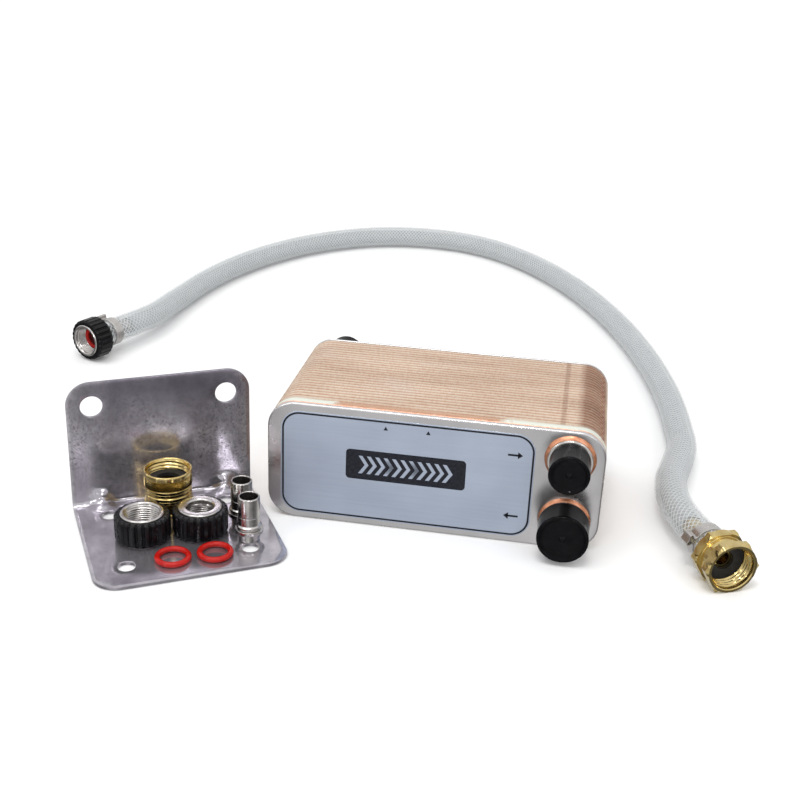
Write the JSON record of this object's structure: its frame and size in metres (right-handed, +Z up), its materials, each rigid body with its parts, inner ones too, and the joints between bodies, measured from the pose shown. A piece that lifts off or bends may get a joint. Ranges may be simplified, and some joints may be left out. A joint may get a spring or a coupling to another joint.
{
  "type": "plate wort chiller kit",
  "caption": "Brazed plate wort chiller with capped ports, an L-shaped steel mounting bracket carrying loose hose fittings, and a braided hose with swivel ends.",
  "frame": {"origin": "on the standing surface, at the middle of the front cover plate's lower edge", "axes": "+Z up; +X along the chiller's length, towards the front ports; -Y out of the labelled front face"},
  "size_m": [0.5268, 0.7473, 0.085],
  "materials": {
    "copper_plates": "copper-brazed plate edges, satin",
    "cover_steel": "satin, faintly stained",
    "pale_plate": "pale matt rim",
    "label_foil": "brushed foil with a black border",
    "port_steel": "turned, bright",
    "braze_copper": "flowed copper, bright",
    "cap_vinyl": "glossy dipped vinyl",
    "bracket_steel": "mottled mill finish",
    "brass": "turned, semi-bright",
    "black_rubber": "matt",
    "fitting_steel": "turned, bright",
    "grip_plastic": "satin moulded",
    "red_silicone": "satin",
    "hose_vinyl": "clear vinyl over a white braid"
  },
  "bodies": {
    "chiller": {"front_cover_plate": "cover_steel", "seal_plate": "pale_plate", "plate_pair_01": "copper_plates", "plate_pair_02": "copper_plates", "plate_pair_03": "copper_plates", "plate_pair_04": "copper_plates", "plate_pair_05": "copper_plates", "plate_pair_06": "copper_plates", "plate_pair_07": "copper_plates", "plate_pair_08": "copper_plates", "plate_pair_09": "copper_plates", "plate_pair_10": "copper_plates", "plate_pair_11": "copper_plates", "plate_pair_12": "copper_plates", "plate_pair_13": "copper_plates", "back_cover_plate": "cover_steel", "label_plate": "label_foil", "wort_in_port": "port_steel", "water_out_port": "port_steel", "wort_out_port": "port_steel", "water_in_port": "port_steel", "wort_in_braze_ring": "braze_copper", "water_out_braze_ring": "braze_copper", "wort_out_braze_ring": "braze_copper", "water_in_braze_ring": "braze_copper"},
    "wort_in_cap": {"wort_in_cap": "cap_vinyl"},
    "water_out_cap": {"water_out_cap": "cap_vinyl"},
    "wort_out_cap": {"wort_out_cap": "cap_vinyl"},
    "water_in_cap": {"water_in_cap": "cap_vinyl"},
    "bracket": {"bracket_sheet": "bracket_steel"},
    "coupling": {"coupling_tube": "brass", "coupling_lower_washer": "black_rubber", "coupling_upper_washer": "black_rubber"},
    "coupling_lower_nut": {"coupling_lower_nut": "brass"},
    "coupling_upper_nut": {"coupling_upper_nut": "brass"},
    "grip_nut_a": {"grip_nut_a_steel": "fitting_steel", "grip_nut_a_sleeve": "grip_plastic"},
    "grip_nut_b": {"grip_nut_b_steel": "fitting_steel", "grip_nut_b_sleeve": "grip_plastic"},
    "barb_a": {"barb_a": "fitting_steel"},
    "barb_b": {"barb_b": "fitting_steel"},
    "o_ring_a": {"o_ring_a": "red_silicone"},
    "o_ring_b": {"o_ring_b": "red_silicone"},
    "hose": {"hose_tube": "hose_vinyl", "hose_left_barb": "fitting_steel", "hose_left_clamp": "fitting_steel", "hose_left_seal": "red_silicone", "hose_right_barb": "brass", "hose_right_washer": "black_rubber", "hose_right_clamp": "fitting_steel"},
    "hose_grip_nut": {"hose_grip_nut_steel": "fitting_steel", "hose_grip_nut_sleeve": "grip_plastic"},
    "hose_hex_nut": {"hose_hex_nut": "brass"}
  },
  "joints": [
    {"name": "wort_in_cap_pull", "type": "slide", "parent": "chiller", "child": "wort_in_cap", "axis": [0, -1, 0], "range_m": [0, 0.035]},
    {"name": "water_out_cap_pull", "type": "slide", "parent": "chiller", "child": "water_out_cap", "axis": [0, -1, 0], "range_m": [0, 0.035]},
    {"name": "wort_out_cap_pull", "type": "slide", "parent": "chiller", "child": "wort_out_cap", "axis": [0, 1, 0], "range_m": [0, 0.035]},
    {"name": "water_in_cap_pull", "type": "slide", "parent": "chiller", "child": "water_in_cap", "axis": [0, 1, 0], "range_m": [0, 0.035]},
    {"name": "bracket_lift", "type": "slide", "parent": "chiller", "child": "bracket", "axis": [0, 0, 1], "range_m": [0, 0.06]},
    {"name": "coupling_lift", "type": "slide", "parent": "bracket", "child": "coupling", "axis": [0, 0, 1], "range_m": [0, 0.05]},
    {"name": "grip_nut_a_lift", "type": "slide", "parent": "bracket", "child": "grip_nut_a", "axis": [0, 0, 1], "range_m": [0, 0.05]},
    {"name": "grip_nut_b_lift", "type": "slide", "parent": "bracket", "child": "grip_nut_b", "axis": [0, 0, 1], "range_m": [0, 0.05]},
    {"name": "barb_a_lift", "type": "slide", "parent": "bracket", "child": "barb_a", "axis": [0, 0, 1], "range_m": [0, 0.05]},
    {"name": "barb_b_lift", "type": "slide", "parent": "bracket", "child": "barb_b", "axis": [0, 0, 1], "range_m": [0, 0.05]},
    {"name": "o_ring_a_lift", "type": "slide", "parent": "bracket", "child": "o_ring_a", "axis": [0, 0, 1], "range_m": [0, 0.05]},
    {"name": "o_ring_b_lift", "type": "slide", "parent": "bracket", "child": "o_ring_b", "axis": [0, 0, 1], "range_m": [0, 0.05]},
    {"name": "coupling_lower_nut_spin", "type": "hinge", "parent": "coupling", "child": "coupling_lower_nut", "pos_m": [-0.16334, -0.01481, 0.01], "axis": [0, 0, 1], "continuous": true},
    {"name": "coupling_upper_nut_spin", "type": "hinge", "parent": "coupling", "child": "coupling_upper_nut", "pos_m": [-0.16334, -0.01481, 0.024], "axis": [0, 0, 1], "continuous": true},
    {"name": "hose_lift", "type": "slide", "parent": "chiller", "child": "hose", "axis": [0, 0, 1], "range_m": [0, 0.06]},
    {"name": "hose_grip_nut_spin", "type": "hinge", "parent": "hose", "child": "hose_grip_nut", "pos_m": [-0.31576, 0.21263, 0.017], "axis": [0.4012, 0.916, 0], "continuous": true},
    {"name": "hose_hex_nut_spin", "type": "hinge", "parent": "hose", "child": "hose_hex_nut", "pos_m": [0.18035, -0.03001, 0.0152], "axis": [-0.4067, 0.9136, 0], "continuous": true}
  ]
}
